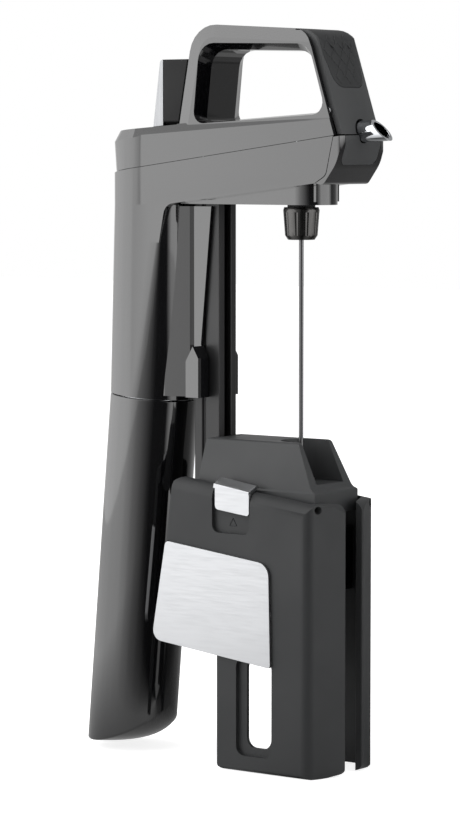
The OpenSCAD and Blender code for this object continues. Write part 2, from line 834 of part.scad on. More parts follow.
module piercing_pin() {
    color([0.8, 0.8, 0.82]) cup_frame() difference() {
        union() {
            translate([0, 0, -7]) cylinder(r = 6.9, h = 3, $fn = 48);
            translate([0, 0, -12]) cylinder(r = 1.1, h = 6, $fn = 24);
            translate([0, 0, -14]) cylinder(r1 = 0.2, r2 = 1.1, h = 2, $fn = 24);
        }
        translate([0, 0, -11]) cylinder(r = 0.5, h = 20, $fn = 16);
    }
}

module capsule_seal() {
    color([0.15, 0.15, 0.15]) cup_frame() difference() {
        translate([0, 0, -9.6]) cylinder(r = 6.9, h = 2.6, $fn = 48);
        translate([0, 0, -12]) cylinder(r = 1.3, h = 8, $fn = 24);
    }
}

module thread_collar() {
    color([0.7, 0.7, 0.72]) cup_frame() difference() {
        translate([0, 0, -12.4]) cylinder(r = thread_r - run_fit, h = 12.4 + gap / 2, $fn = 64);
        translate([0, 0, -13]) cylinder(r = 7, h = 9, $fn = 48);
        cylinder(r = 1.2, h = 12, center = true, $fn = 24);
    }
}

// Foot of the cup: flat below, turned with a big toe radius round an axis near the heel
module cup_foot() {
    translate([cup_x - (cup_seam_z - cup_low_z) * tan(cup_lean) + cup_r - toe_reach, 0, cup_low_z])
        rotate_extrude($fn = 96)
            polygon(rounded([[0, 0, 0], [toe_reach + 0.1, 0, toe_round],
                [toe_reach + 0.1 + 140 * tan(cup_lean), 140, 0], [0, 140, 0]], 14));
}

module capsule_cup() {
    color([0.05, 0.05, 0.055]) difference() {
        intersection() {
            cup_frame() translate([0, 0, -130]) cylinder(r = cup_r, h = 130 - gap / 2, $fn = 96);
            cup_foot();
        }
        cup_frame() {
            translate([0, 0, -thread_depth]) cylinder(r = thread_r, h = 20, $fn = 64);
            translate([0, 0, bore_low]) cylinder(r = capsule_r + bore_clear, h = -bore_low - 3, $fn = 64);
        }
    }
}

module gas_capsule() {
    len = capsule_len;
    color([0.72, 0.73, 0.75]) cup_frame() translate([0, 0, capsule_mouth]) difference() {
        rotate_extrude($fn = 64) polygon([[0, 0], [capsule_neck_r, 0], [capsule_neck_r, -5],
            [6.2, -7.5], [8.6, -11], [capsule_r, -15], [capsule_r, 6 - len], [7.4, 2 - len], [4, -len], [0, -len]]);
        translate([0, 0, -6]) cylinder(r = 1.3, h = 8, $fn = 24);
    }
}

module capsule_cushion() {
    color([0.2, 0.2, 0.2]) cup_frame() difference() {
        translate([0, 0, bore_low]) cylinder(r = capsule_r, h = cushion_h, $fn = 48);
        translate([0, 0, bore_low - cut]) cylinder(r = capsule_r - 2, h = cushion_h - 4, $fn = 48);
    }
}

// ---------- needle ----------

module needle_nut() {
    color([0.25, 0.25, 0.26]) difference() {
        union() {
            rotate_extrude($fn = 72) polygon([[0, nut_low_z], [4.2, nut_low_z], [nut_low_r, nut_low_z + 1.4],
                [nut_top_r - 0.1, nut_top_z - 0.9], [nut_top_r - 0.4, nut_top_z], [0, nut_top_z]]);
            translate([0, 0, nut_top_z - 0.1]) cylinder(r = stud_r, h = 5.2, $fn = 48);
        }
        translate([0, 0, nut_low_z - cut]) cylinder(r = needle_r + 0.02, h = 30, $fn = 24);
        // grip flutes, open below
        for (i = [0:nut_flutes - 1])
            rotate([0, 0, 360 * i / nut_flutes])
                translate([nut_low_r + 0.85, 0, nut_low_z - cut])
                    rotate([0, 3.8, 0])
                        cylinder(r = 1.1, h = nut_h - 0.6, $fn = 24);
    }
}

module needle() {
    color([0.6, 0.6, 0.62]) {
        translate([0, 0, needle_tip_z + 2.5]) cylinder(r = needle_r, h = needle_top_z - needle_tip_z - 2.5, $fn = 24);
        translate([0, 0, needle_tip_z]) cylinder(r1 = 0.1, r2 = needle_r, h = 2.5, $fn = 24);
    }
}

module needle_seal() {
    color([0.15, 0.15, 0.15]) translate([0, 0, boss_z - 0.8]) difference() {
        cylinder(r = stud_r + 1.2, h = 0.8, $fn = 48);
        translate([0, 0, -cut]) cylinder(r = stud_r, h = 4, $fn = 48);
    }
}

// ---------- clamp ----------

module bridge_side() {
    polygon(rounded([[bridge_rear_low, deck_low_z, 0], [bridge_rear_low, 7.6, 1],
        [bridge_rear_top, bridge_h, bridge_edge], [bridge_front_top, bridge_h, bridge_edge],
        [11.8, bridge_low_z + 0.4, 3], [bridge_front_low, 2.6, 0.8], [bridge_front_low, deck_low_z, 0]]));
}

module bridge_front() {
    polygon(rounded([[deck_half, deck_low_z, 0], [deck_half, bridge_low_z - 0.6, 0],
        [bridge_low_half, bridge_low_z, 0], [bridge_top_half, bridge_h, bridge_edge],
        [-bridge_top_half, bridge_h, bridge_edge], [-bridge_low_half, bridge_low_z, 0],
        [-deck_half, bridge_low_z - 0.6, 0], [-deck_half, deck_low_z, 0]]));
}

module jaw_rod(x0, x1, r) {
    rod([x0, jaw_pin_y, jaw_pin_z], [x1, jaw_pin_y, jaw_pin_z], r);
}

module clamp_bridge() {
    color([0.36, 0.36, 0.37]) difference() {
        union() {
            intersection() {
                across(-20, 20) bridge_side();
                along(-40, 30) bridge_front();
            }
            // lugs that carry the jaw pins
            both_sides() for (x = [pin_rear_x, pin_front_x - lug_len]) {
                jaw_rod(x, x + lug_len, jaw_barrel_r);
                translate([x, deck_half - 1, deck_low_z])
                    cube([lug_len, jaw_pin_y - deck_half + 1, 2 * jaw_barrel_r]);
            }
        }
        both_sides() jaw_rod(pin_rear_x - cut, pin_front_x + cut, jaw_pin_r);
        // notch that takes the needle nut, open to the front
        translate([notch_x, 0, notch_floor_z]) cylinder(r = notch_half, h = 20, $fn = 72);
        translate([notch_x, -notch_half, notch_floor_z]) cube([30, 2 * notch_half, 20]);
        // way for the rail and seat of its runner
        translate([-50, -shroud_in, -20]) cube([50 + rail_front_x + gap, 2 * shroud_in, 60]);
        translate([runner_rear_x, -runner_half, runner_low_z])
            cube([runner_front_x - runner_rear_x, 2 * runner_half, runner_top_z - runner_low_z]);
        translate([0, 0, -10]) cylinder(r = guide_r, h = 40, $fn = 48);
        both_sides() translate([clamp_screw_x, clamp_screw_y, deck_low_z - cut]) {
            cylinder(r = screw_r, h = 30 - cut, $fn = 24);
            cylinder(r = screw_head_r + run_fit, h = 1.6 + cut, $fn = 32);
        }
    }
}

// T-shaped runner screwed into the bridge, riding in the rail's slot
module rail_runner() {
    height = runner_top_z - runner_low_z;
    color([0.75, 0.75, 0.72]) difference() {
        translate([0, 0, runner_low_z]) union() {
            translate([runner_rear_x, -runner_half, 0]) cube([runner_front_x - runner_rear_x, 2 * runner_half, height]);
            translate([rail_front_x - slot_mouth - gap, -runner_neck, 0])
                cube([runner_rear_x - rail_front_x + slot_mouth + gap + 0.1, 2 * runner_neck, height]);
            translate([rail_front_x - slot_mouth - slot_deep + gap, -slot_half + gap, 0])
                cube([slot_deep - 2 * gap, 2 * (slot_half - gap), height]);
        }
        both_sides() translate([clamp_screw_x, clamp_screw_y, 0]) cylinder(r = screw_r, h = 9, $fn = 24);
    }
}

// Bush that centres the needle above the cork
module needle_guide() {
    color([0.85, 0.85, 0.83]) difference() {
        translate([0, 0, deck_low_z]) union() {
            cylinder(r = guide_r, h = notch_floor_z - deck_low_z, $fn = 48);
            translate([0, 0, notch_floor_z - deck_low_z]) cylinder(r = guide_r + 1.2, h = 1.2, $fn = 48);
        }
        translate([0, 0, -10]) cylinder(r = needle_r + run_fit, h = 30, $fn = 32);
        translate([0, 0, notch_floor_z]) cylinder(r1 = needle_r + run_fit, r2 = 2.2, h = 1.21, $fn = 32);
    }
}

module clamp_screws() {
    color([0.6, 0.6, 0.62]) both_sides() translate([clamp_screw_x, clamp_screw_y, deck_low_z]) {
        cylinder(r = screw_head_r, h = 1.6, $fn = 32);
        cylinder(r = screw_r, h = 11.5, $fn = 24);
    }
}

module jaw_pins() {
    color([0.7, 0.7, 0.72]) both_sides() jaw_rod(pin_rear_x, pin_front_x, jaw_pin_r);
}

module jaw_springs() {
    color([0.75, 0.75, 0.77]) both_sides()
        translate([spring_x, jaw_pin_y, jaw_pin_z])
            rotate([0, 90, 0])
                coil(1.55, 0.2, 7.4, 5);
}

module jaw_plan() {
    inner = jaw_out - jaw_wall;
    polygon(rounded([[jaw_rear_x, 12.4, 0.6], [jaw_rear_x, jaw_out, 1.2], [jaw_front_x, jaw_out, 4],
        [jaw_tip_x, jaw_gap_half, 0.6], [jaw_tip_x - 2.8, jaw_gap_half, 0.6], [jaw_front_x - 1.8, inner, 1.5],
        [jaw_rear_x + jaw_wall, inner, 0.8], [jaw_rear_x + jaw_wall, 12.4, 0.6]]));
}

// Sloping top of the jaw as a working plane
module jaw_top_plane() {
    translate([0, 0, jaw_top_z])
        rotate([0, jaw_top_slope, 0])
            children();
}

// Left jaw; the right one is its mirror image
module jaw() {
    inner = jaw_out - jaw_wall;
    difference() {
        union() {
            difference() {
                translate([0, 0, base_z]) linear_extrude(base_drop + 9) jaw_plan();
                translate([-25, 0, deck_low_z - 1.3]) cube([36, jaw_cover_y, 20]);
            }
            across(inner, jaw_out) polygon(rounded([[-36.8, 9, 0], [-7, 9, 0], [-7, -50.8, 0], [-20, -49.4, 0],
                [-43.75, -46.4, 0], [-38.4, -15.0, 0], [-39.6, -14.6, 0]]));
            across(jaw_cover_y, inner + 0.1) polygon([[-36.8, 9], [14, 9], [14, jaw_pin_z], [-37.8, jaw_pin_z]]);
            jaw_rod(pin_rear_x + lug_len + gap, pin_front_x - lug_len - gap, jaw_barrel_r);
        }
        // sloping top with its rounded shoulder, rounded rear and front corners
        jaw_top_plane() {
            translate([-80, 0, 0]) cube([160, 40, 40]);
            along(-80, 80) difference() {
                translate([jaw_out - jaw_shoulder, -jaw_shoulder]) square(jaw_shoulder + 1);
                translate([jaw_out - jaw_shoulder, -jaw_shoulder]) circle(r = jaw_shoulder, $fn = 64);
            }
            across(-1, 40) difference() {
                translate([-40, -jaw_rear_round]) square([jaw_rear_round + 1.9, jaw_rear_round + 1]);
                translate([-38.1 + jaw_rear_round, -jaw_rear_round]) circle(r = jaw_rear_round, $fn = 64);
            }
        }
        across(-1, 40) difference() {
            translate([jaw_tip_x - 8, -12]) square([12, 20]);
            polygon(rounded([[0, -30, 0], [0, jaw_top_z, 0],
                [jaw_tip_x, jaw_top_z - jaw_tip_x * tan(jaw_top_slope), jaw_tip_round], [jaw_tip_x, -30, 0]]));
        }
        across(-1, 40) difference() {
            translate([jaw_rear_x - 5, base_z - 5]) square([jaw_tip_x - jaw_rear_x + 10, jaw_heel_round + 5]);
            polygon(rounded([[jaw_rear_x, base_z, jaw_heel_round], [jaw_tip_x, base_z, jaw_heel_round + 0.5],
                [jaw_tip_x, base_z + 30, 0], [jaw_rear_x, base_z + 30, 0]]));
        }
        along(-80, 80) difference() {
            translate([jaw_out - jaw_foot_round, base_z - 1]) square(jaw_foot_round + 1);
            translate([jaw_out - jaw_foot_round, base_z + jaw_foot_round]) circle(r = jaw_foot_round, $fn = 48);
        }
        jaw_rod(-60, 60, jaw_pin_r + run_fit);
        jaw_rod(pin_rear_x - gap, pin_rear_x + lug_len + gap, jaw_barrel_r + gap);
        jaw_rod(pin_front_x - lug_len - gap, pin_front_x + gap, jaw_barrel_r + gap);
        jaw_rod(spring_x - 0.4, spring_x + 7.8, jaw_barrel_r + 0.2);
        // pocket of the latch tab
        across(latch_floor, jaw_out + cut)
            polygon(rounded([[-21.6, 12, 0], [-21.6, -11, 2.5], [-7, -11, 2.5], [-7, 12, 0]]));
        latch_top() translate([-7.3, 12.9, -1.35]) cube([14.6, 7, 12]);
        // window in the leg with its shallow surround
        across(0, 30) polygon(rounded([[-8.9, -50, 3.2], [-8.9, -78.6, 3.2], [0.5, -78.6, 3.2], [0.5, -50, 3.2]]));
        across(jaw_out - 1.4, 30)
            polygon(rounded([[-12.2, -50, 3], [-12.2, -81.2, 3], [1.5, -81.2, 3], [1.5, -50, 3]]));
    }
}

module latch_top() {
    translate([-14.3, 0, 3])
        rotate([0, 8.5, 0])
            children();
}

module latch_tab() {
    across(latch_floor + 0.1, jaw_out - 0.1)
        polygon(rounded([[-20.6, -3.6, 1.5], [-7.3, -5.2, 1], [-7.3, 1.6, 0], [-20.6, 3.6, 0]]));
    latch_top() along(-6.9, 6.9)
        polygon(rounded([[latch_floor + 0.1, -0.9, 0], [jaw_out - 0.1, -0.9, 0], [jaw_out - 0.1, 0.5, 0.3],
            [13.5, 2.6, 0.6], [13.4, 1.3, 0.3]]));
}

module wing_plate() {
    difference() {
        across(jaw_out - 2.2, jaw_out + wing_t)
            polygon(rounded([[-39.4, -14.8, 1.5], [0.9, -19.6, 4.5], [1.6, -52.4, 0.8], [-44.9, -46.9, 3.5]]));
        across(0, jaw_out)
            polygon([[-37.6, -10], [-46.1, -60], [10, -60], [10, -10]]);
    }
}

module grip_pad() {
    difference() {
        translate([-pad_half, pad_inner, pad_low_z]) cube([2 * pad_half, jaw_out - jaw_wall - pad_inner, pad_h]);
        translate([0, 0, -50]) cylinder(r = neck_r, h = 60, $fn = 96);
    }
}

module jaw_right() {
    color([0.3, 0.3, 0.31]) mirror([0, 1, 0]) jaw();
}

module jaw_left() {
    color([0.3, 0.3, 0.31]) jaw();
}

module wing_plate_right() {
    color([0.85, 0.85, 0.86]) mirror([0, 1, 0]) wing_plate();
}

module wing_plate_left() {
    color([0.85, 0.85, 0.86]) wing_plate();
}

module latch_tab_right() {
    color([0.82, 0.82, 0.83]) mirror([0, 1, 0]) latch_tab();
}

module latch_tab_left() {
    color([0.82, 0.82, 0.83]) latch_tab();
}

module grip_pad_right() {
    color([0.12, 0.12, 0.12]) mirror([0, 1, 0]) grip_pad();
}

module grip_pad_left() {
    color([0.12, 0.12, 0.12]) grip_pad();
}

lower_housing();
upper_housing_right();
upper_housing_left();
nose_cap();
nose_panel();
trigger();
trigger_pad();
trigger_pin();
trigger_spring();
spout();
spout_seal();
needle_manifold();
valve_stem();
valve_spring();
gas_tube();
wine_tube();
guide_rail();
rail_shroud();
spine_plate();
spine_trim();
housing_screws();
regulator_body();
regulator_piston();
regulator_spring();
piercing_pin();
capsule_seal();
thread_collar();
capsule_cup();
gas_capsule();
capsule_cushion();
needle_nut();
needle();
needle_seal();
clamp_bridge();
rail_runner();
needle_guide();
jaw_right();
jaw_left();
wing_plate_right();
wing_plate_left();
latch_tab_right();
latch_tab_left();
grip_pad_right();
grip_pad_left();
jaw_pins();
jaw_springs();
clamp_screws();
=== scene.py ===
import json
import math

import bpy
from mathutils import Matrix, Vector
from mathutils.bvhtree import BVHTree

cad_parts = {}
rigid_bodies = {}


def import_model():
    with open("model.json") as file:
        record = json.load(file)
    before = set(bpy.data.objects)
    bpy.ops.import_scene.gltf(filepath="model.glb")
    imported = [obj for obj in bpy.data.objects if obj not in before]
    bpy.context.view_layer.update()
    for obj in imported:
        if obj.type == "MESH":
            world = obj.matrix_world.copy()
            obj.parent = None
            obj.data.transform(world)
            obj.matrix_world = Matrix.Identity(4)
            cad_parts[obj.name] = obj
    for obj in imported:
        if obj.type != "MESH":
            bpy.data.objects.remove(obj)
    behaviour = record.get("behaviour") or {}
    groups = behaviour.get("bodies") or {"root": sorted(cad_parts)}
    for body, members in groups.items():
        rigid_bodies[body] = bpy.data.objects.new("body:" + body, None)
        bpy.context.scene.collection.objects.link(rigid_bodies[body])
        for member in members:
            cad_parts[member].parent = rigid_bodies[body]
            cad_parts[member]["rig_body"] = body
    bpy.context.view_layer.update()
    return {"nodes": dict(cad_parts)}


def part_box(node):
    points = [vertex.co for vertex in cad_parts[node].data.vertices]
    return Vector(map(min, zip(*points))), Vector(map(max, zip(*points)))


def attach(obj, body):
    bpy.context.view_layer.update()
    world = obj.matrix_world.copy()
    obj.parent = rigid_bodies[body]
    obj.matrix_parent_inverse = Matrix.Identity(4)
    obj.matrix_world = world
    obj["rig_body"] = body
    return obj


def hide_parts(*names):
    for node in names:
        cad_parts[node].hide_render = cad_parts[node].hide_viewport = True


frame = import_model()
node = frame["nodes"]

# ---- Camera ----
# A long lens a little above the object, turned a third of the way to its right side.
# The angles, the distance and the aim come from lines of the object in the photograph.
AZIMUTH = math.radians(36.0)
PITCH = math.radians(4.5)
AIM = Vector((-0.02769, -0.00008, 0.02729))
DISTANCE = 1.059
FOCAL_PX = 3300.0
FRAME_H_PX = 814.0
SENSOR_MM = 36.0

camera_data = bpy.data.cameras.new("camera")
camera_data.sensor_width = SENSOR_MM
camera_data.lens = FOCAL_PX / FRAME_H_PX * SENSOR_MM
camera_data.clip_start, camera_data.clip_end = 0.05, 20.0
camera = bpy.data.objects.new("camera", camera_data)
bpy.context.scene.collection.objects.link(camera)
level_reach = math.cos(PITCH)
toward_camera = Vector((math.sin(AZIMUTH) * level_reach, -math.cos(AZIMUTH) * level_reach, math.sin(PITCH)))
camera.location = AIM + toward_camera * DISTANCE
camera.rotation_euler = toward_camera.to_track_quat("Z", "Y").to_euler()
bpy.context.scene.camera = camera
bpy.context.scene.view_settings.view_transform = "Standard"


def linear(hex_colour):
    """sRGB hex such as "8a8f94" to linear RGBA."""
    parts = [int(hex_colour[i:i + 2], 16) / 255 for i in (0, 2, 4)]
    return tuple(c / 12.92 if c <= 0.04045 else ((c + 0.055) / 1.055) ** 2.4 for c in parts) + (1.0,)


def new_material(name):
    """An empty node material."""
    material = bpy.data.materials.new(name)
    material.use_nodes = True
    material.node_tree.nodes.clear()
    return material


def add_node(tree, kind, settings=None, **links):
    """Adds a node. settings: input name, input number or attribute to value.
    links: input name with _ for a space, or i_ and the input's number, to the socket that feeds it."""
    new = tree.nodes.new(kind)
    for key, value in (settings or {}).items():
        if isinstance(key, int) or key in new.inputs:
            new.inputs[key].default_value = value
        else:
            setattr(new, key, value)
    for key, socket in links.items():
        slot = int(key[2:]) if key.startswith("i_") else key.replace("_", " ")
        tree.links.new(socket, new.inputs[slot])
    return new


# ---- Studio light profile ----
# The object stands in a light tent. Going round it from the camera's left, the cloth is bright over the
# key lamp, fades towards the camera, is dark behind the camera and to its right, and is pale at the back.
# The values are radiances; they were chosen so that the gloss black reads as grey as in the photograph.
TENT = ((-180, 0.4), (-150, 0.5), (-110, 0.7), (-90, 1.3), (-72, 1.9), (-50, 2.35), (-36, 2.4), (-20, 1.8),
        (-10, 1.25), (6, 0.7), (23, 0.2), (32, 0.05), (66, 0.05), (80, 1.9), (118, 1.9), (134, 0.15),
        (160, 0.2), (180, 0.4))
TENT_PEAK = 2.5
WHITE = (1, 1, 1, 1)


def tent_profile(tree, place_output="Object", share=1.0):
    """A share of the tent's radiance by azimuth, in degrees from -Y towards +X, as a socket."""
    place = add_node(tree, "ShaderNodeTexCoord")
    parts = add_node(tree, "ShaderNodeSeparateXYZ", None, Vector=place.outputs[place_output])
    front = add_node(tree, "ShaderNodeMath", {"operation": "MULTIPLY", 1: -1.0}, i_0=parts.outputs["Y"])
    angle = add_node(tree, "ShaderNodeMath", {"operation": "ARCTAN2"}, i_0=parts.outputs["X"],
                     i_1=front.outputs[0])
    turn = add_node(tree, "ShaderNodeMapRange", {"From Min": -math.pi, "From Max": math.pi},
                    Value=angle.outputs[0])
    ramp = add_node(tree, "ShaderNodeValToRGB", None, Fac=turn.outputs[0])
    stops = ramp.color_ramp.elements
    while len(stops) < len(TENT):
        stops.new(0.5)
    for stop, (azimuth, radiance) in zip(stops, TENT):
        stop.position = (azimuth + 180) / 360
        stop.color = (radiance / TENT_PEAK,) * 3 + (1.0,)
    level = add_node(tree, "ShaderNodeMath", {"operation": "MULTIPLY", 1: TENT_PEAK * share},
                     i_0=ramp.outputs["Color"])
    return level.outputs[0]


# ---- Studio floor ----
# A sheet of pale paper under the object. To the camera it glows up to white wherever the object's own
# shadow doesn't fall. In polished faces it glows with a painted reflection of the tent's light, as a sweep of
# paper would show it, and with painted shade close to the object, which keeps the undersides of the gloss
# parts dark.
FLOOR_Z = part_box("jaw_right")[0].z - 0.0002
FLOOR_SIZE = 6.0
FLOOR_GLOW = 0.8
SHADE_NEAR_EDGE = 0.1
SHADE_FADE_END = 0.34
SHADE_NEAR_SHARE = 0.22
PAPER_SHARE = 0.7
bpy.ops.object.select_all(action="DESELECT")
bpy.ops.mesh.primitive_plane_add(size=FLOOR_SIZE, location=(0, 0, FLOOR_Z))
floor = bpy.context.object
floor.name = "studio_floor"
bpy.ops.object.transform_apply(location=True)
paper = new_material("white_studio_paper")
tree = paper.node_tree
rays = add_node(tree, "ShaderNodeLightPath")
direct = add_node(tree, "ShaderNodeMath", {"operation": "MAXIMUM"},
                  i_0=rays.outputs["Is Camera Ray"], i_1=rays.outputs["Is Transmission Ray"])
lift = add_node(tree, "ShaderNodeMath", {"operation": "MULTIPLY", 1: FLOOR_GLOW}, i_0=direct.outputs[0])
paper_matte = add_node(tree, "ShaderNodeBsdfDiffuse", {"Color": linear("dcdcdc")})
paper_glow = add_node(tree, "ShaderNodeEmission", {"Color": WHITE}, Strength=lift.outputs[0])
paper_sum = add_node(tree, "ShaderNodeAddShader", None, i_0=paper_matte.outputs[0], i_1=paper_glow.outputs[0])
sheet = add_node(tree, "ShaderNodeTexCoord")
reach = add_node(tree, "ShaderNodeVectorMath", {"operation": "LENGTH"}, i_0=sheet.outputs["Object"])
# Painted shade: the floor's glow in polished faces is dimmed close to the object.
painted_shade_near = add_node(tree, "ShaderNodeMapRange",
                     {"From Min": SHADE_NEAR_EDGE, "From Max": SHADE_FADE_END, "To Min": SHADE_NEAR_SHARE,
                      "To Max": PAPER_SHARE},
                     Value=reach.outputs["Value"])
# Painted reflection: in polished faces the floor glows with the tent's light instead of being lit by it.
sweep_level = add_node(tree, "ShaderNodeMath", {"operation": "MULTIPLY"},
                       i_0=tent_profile(tree), i_1=painted_shade_near.outputs[0])
sweep_light = add_node(tree, "ShaderNodeEmission", {"Color": WHITE}, Strength=sweep_level.outputs[0])
paper_mix = add_node(tree, "ShaderNodeMixShader", None, i_0=rays.outputs["Is Glossy Ray"],
                     i_1=paper_sum.outputs[0], i_2=sweep_light.outputs[0])
add_node(tree, "ShaderNodeOutputMaterial", None, Surface=paper_mix.outputs[0])
floor.data.materials.append(paper)

# ---- Light tent ----
# A round wall of diffusing cloth, lit from behind, which the camera looks through.
# It stands a metre from the object all round, and gives most of the light.
TENT_RADIUS = 1.0
TENT_TALL = 1.1
bpy.ops.object.select_all(action="DESELECT")
bpy.ops.mesh.primitive_cylinder_add(vertices=128, radius=TENT_RADIUS, depth=TENT_TALL,
                                    end_fill_type="NOTHING",
                                    location=(0, 0, FLOOR_Z + TENT_TALL / 2))
tent = bpy.context.object
tent.name = "light_tent"
bpy.ops.object.transform_apply(location=True)
tent_cloth = new_material("tent_cloth")
tree = tent_cloth.node_tree
tent_glow = add_node(tree, "ShaderNodeEmission", {"Color": WHITE}, Strength=tent_profile(tree))
add_node(tree, "ShaderNodeOutputMaterial", None, Surface=tent_glow.outputs[0])
tent.data.materials.append(tent_cloth)
tent.visible_camera = False
tent.visible_transmission = False
tent.visible_shadow = False

# ---- Studio ceiling ----
# Above the tent the ceiling passes on a share of its light.
# Straight to the camera the room is white, as a page is.
CEILING_SHARE = 0.5
world = bpy.data.worlds.new("studio_world")
bpy.context.scene.world = world
world.use_nodes = True
tree = world.node_tree
tree.nodes.clear()
rays = add_node(tree, "ShaderNodeLightPath")
direct = add_node(tree, "ShaderNodeMath", {"operation": "MAXIMUM"},
                  i_0=rays.outputs["Is Camera Ray"], i_1=rays.outputs["Is Transmission Ray"])
ceiling = tent_profile(tree, "Generated", CEILING_SHARE)
strength = add_node(tree, "ShaderNodeMath", {"operation": "MAXIMUM"}, i_0=direct.outputs[0],
                    i_1=ceiling)
sky = add_node(tree, "ShaderNodeBackground", {"Color": WHITE}, Strength=strength.outputs[0])
add_node(tree, "ShaderNodeOutputWorld", None, Surface=sky.outputs[0])

# ---- Top soft box ----
# A square of the same cloth over the object, a little to the key side.
# It lights the upper faces evenly.
TOP_BOX_SIZE = 1.0
TOP_BOX_PLACE = (-0.25, -0.35, 1.05)
TOP_BOX_RADIANCE = 1.6
bpy.ops.object.select_all(action="DESELECT")
bpy.ops.mesh.primitive_plane_add(size=TOP_BOX_SIZE, location=TOP_BOX_PLACE)
top_box = bpy.context.object
top_box.name = "top_soft_box"
top_cloth = new_material("top_soft_box_cloth")
tree = top_cloth.node_tree
top_glow = add_node(tree, "ShaderNodeEmission", {"Color": WHITE, "Strength": TOP_BOX_RADIANCE})
add_node(tree, "ShaderNodeOutputMaterial", None, Surface=top_glow.outputs[0])
top_box.data.materials.append(top_cloth)
top_box.visible_camera = False

# ---- Lower housing ----
# The lower shell of the arm with the upper half of the column, injection moulded in one piece.
# Every edge carries the small radius of its mould.
MERGE_DISTANCE = 0.00001
FLAT_ANGLE = 0.6
FACE_WEIGHT = 80


def finish_solid(name, radius_mm, crease=30.0):
    """A merged copy of a CAD node, which stands for it, with mould radii on edges sharper than crease."""
    source = node[name]
    piece = source.copy()
    piece.data = source.data.copy()
    piece.name = name + "_finished"
    for key in list(piece.keys()):
        del piece[key]
    bpy.context.scene.collection.objects.link(piece)
    piece.parent = None
    bpy.ops.object.select_all(action="DESELECT")
    bpy.context.view_layer.objects.active = piece
    piece.select_set(True)
    bpy.ops.object.mode_set(mode="EDIT")
    bpy.ops.mesh.select_all(action="SELECT")
    bpy.ops.mesh.remove_doubles(threshold=MERGE_DISTANCE)
    bpy.ops.mesh.dissolve_limited(angle_limit=math.radians(FLAT_ANGLE))
    bpy.ops.object.mode_set(mode="OBJECT")
    if radius_mm > 0:
        bevel = piece.modifiers.new("mould_radius", "BEVEL")
        bevel.width = radius_mm / 1000
        bevel.segments = 3
        bevel.limit_method = "ANGLE"
        bevel.angle_limit = math.radians(crease)
        bevel.use_clamp_overlap = True
        bpy.ops.object.modifier_apply(modifier=bevel.name)
    bpy.ops.object.shade_smooth_by_angle(angle=math.radians(crease))
    even = piece.modifiers.new("flat_faces_stay_flat", "WEIGHTED_NORMAL")
    even.keep_sharp = True
    even.weight = FACE_WEIGHT
    bpy.ops.object.modifier_apply(modifier=even.name)
    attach(piece, source["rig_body"])
    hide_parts(name)
    return piece


def dress(piece, material):
    """Gives a piece its one material."""
    piece.data.materials.clear()
    piece.data.materials.append(material)


MOTTLE = 0.05
MOTTLE_SCALE = 45.0
GRAIN_STRENGTH = 0.35
LINE_STRENGTH = 0.25
COAT_ROUGHNESS = 0.03
COAT_IOR = 1.6


def noise_range(tree, noise, low, high):
    """Spreads the middle of a noise's values over low to high."""
    return add_node(tree, "ShaderNodeMapRange",
                    {"From Min": 0.3, "From Max": 0.7, "To Min": low, "To Max": high},
                    Value=noise.outputs["Fac"])


def moulded(name, hex_colour, roughness, grain_mm, grain_depth_mm, gloss_coat=0.0, ior=1.53):
    """Moulded plastic or rubber: colour with a faint flow mottle, and the tool's grain as a fine bump."""
    material = new_material(name)
    tree = material.node_tree
    place = add_node(tree, "ShaderNodeTexCoord")
    flow = add_node(tree, "ShaderNodeTexNoise", {"Scale": MOTTLE_SCALE, "Detail": 3.0},
                    Vector=place.outputs["Object"])
    base = linear(hex_colour)
    darker = tuple(c * (1 - MOTTLE) for c in base[:3]) + (1.0,)
    lighter = tuple(c * (1 + MOTTLE) for c in base[:3]) + (1.0,)
    tint = add_node(tree, "ShaderNodeMix", {"data_type": "RGBA", 6: darker, 7: lighter},
                    Factor=flow.outputs["Fac"])
    grain = add_node(tree, "ShaderNodeTexNoise", {"Scale": 1000.0 / grain_mm, "Detail": 2.0},
                     Vector=place.outputs["Object"])
    relief = add_node(tree, "ShaderNodeBump", {"Strength": GRAIN_STRENGTH, "Distance": grain_depth_mm / 1000},
                      Height=grain.outputs["Fac"])
    shine = noise_range(tree, flow, roughness * 0.85, roughness * 1.15)
    surface = add_node(tree, "ShaderNodeBsdfPrincipled", {"IOR": ior, "Coat Weight": gloss_coat,
                       "Coat Roughness": COAT_ROUGHNESS, "Coat IOR": COAT_IOR}, Base_Color=tint.outputs[2],
                       Roughness=shine.outputs[0], Normal=relief.outputs[0])
    add_node(tree, "ShaderNodeOutputMaterial", None, Surface=surface.outputs[0])
    return material


def bare_metal(name, hex_colour, roughness, line_mm, stretch, depth_mm):
    """Metal with fine tool or brush lines; stretch holds the lines' direction as a scale per axis."""
    material = new_material(name)
    tree = material.node_tree
    place = add_node(tree, "ShaderNodeTexCoord")
    along = add_node(tree, "ShaderNodeMapping", {"Scale": stretch}, Vector=place.outputs["Object"])
    lines = add_node(tree, "ShaderNodeTexNoise", {"Scale": 1000.0 / line_mm, "Detail": 2.0},
                     Vector=along.outputs[0])
    shine = noise_range(tree, lines, roughness * 0.8, roughness * 1.2)
    relief = add_node(tree, "ShaderNodeBump", {"Strength": LINE_STRENGTH, "Distance": depth_mm / 1000},
                      Height=lines.outputs["Fac"])
    surface = add_node(tree, "ShaderNodeBsdfPrincipled", {"Base Color": linear(hex_colour), "Metallic": 1.0},
                       Roughness=shine.outputs[0], Normal=relief.outputs[0])
    add_node(tree, "ShaderNodeOutputMaterial", None, Surface=surface.outputs[0])
    return material


# Gloss ABS: near-black, polished tools, so mirror smooth with the faintest waviness of a moulded wall.
gloss_abs = moulded("gloss_black_abs", "0a0a0c", 0.08, 7.0, 0.012, gloss_coat=1.0, ior=1.58)
dress(finish_solid("lower_housing", 0.45), gloss_abs)

